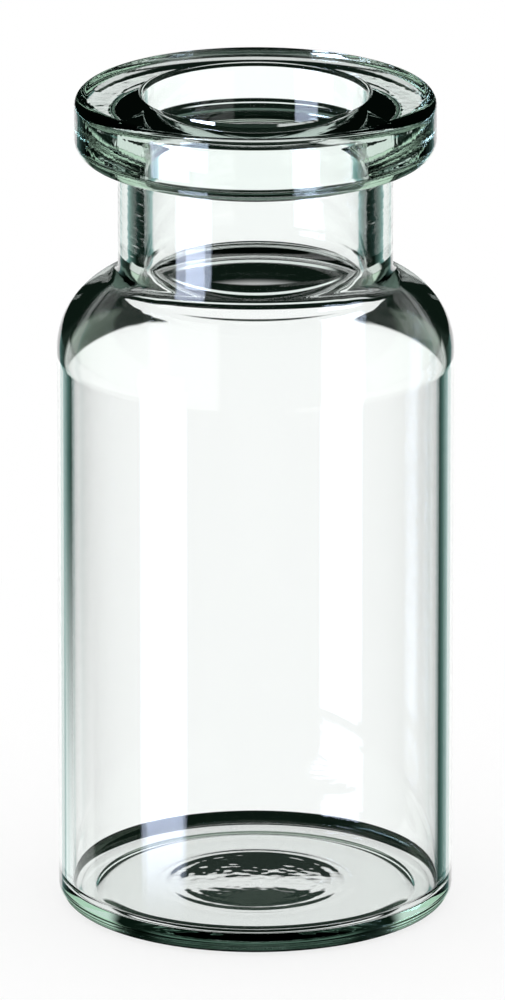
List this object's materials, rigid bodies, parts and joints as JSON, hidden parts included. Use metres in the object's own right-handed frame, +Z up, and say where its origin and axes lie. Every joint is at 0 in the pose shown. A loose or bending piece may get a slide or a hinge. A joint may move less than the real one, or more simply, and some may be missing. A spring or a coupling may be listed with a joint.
{
  "type": "glass sample vial",
  "caption": "Clear glass sample vial: a straight round body with a rounded shoulder, a narrower neck, and a thick crimp rim round an open mouth.",
  "frame": {"origin": "centre of the flat ring that the vial stands on", "axes": "+Z up, along the vial's axis, out of the mouth; +X and +Y are free, because the vial is round"},
  "size_m": [0.022, 0.022, 0.0465],
  "materials": {
    "glass": "clear, smooth, with a faint green edge tint"
  },
  "bodies": {
    "root": {"vial": "glass"}
  },
  "joints": []
}
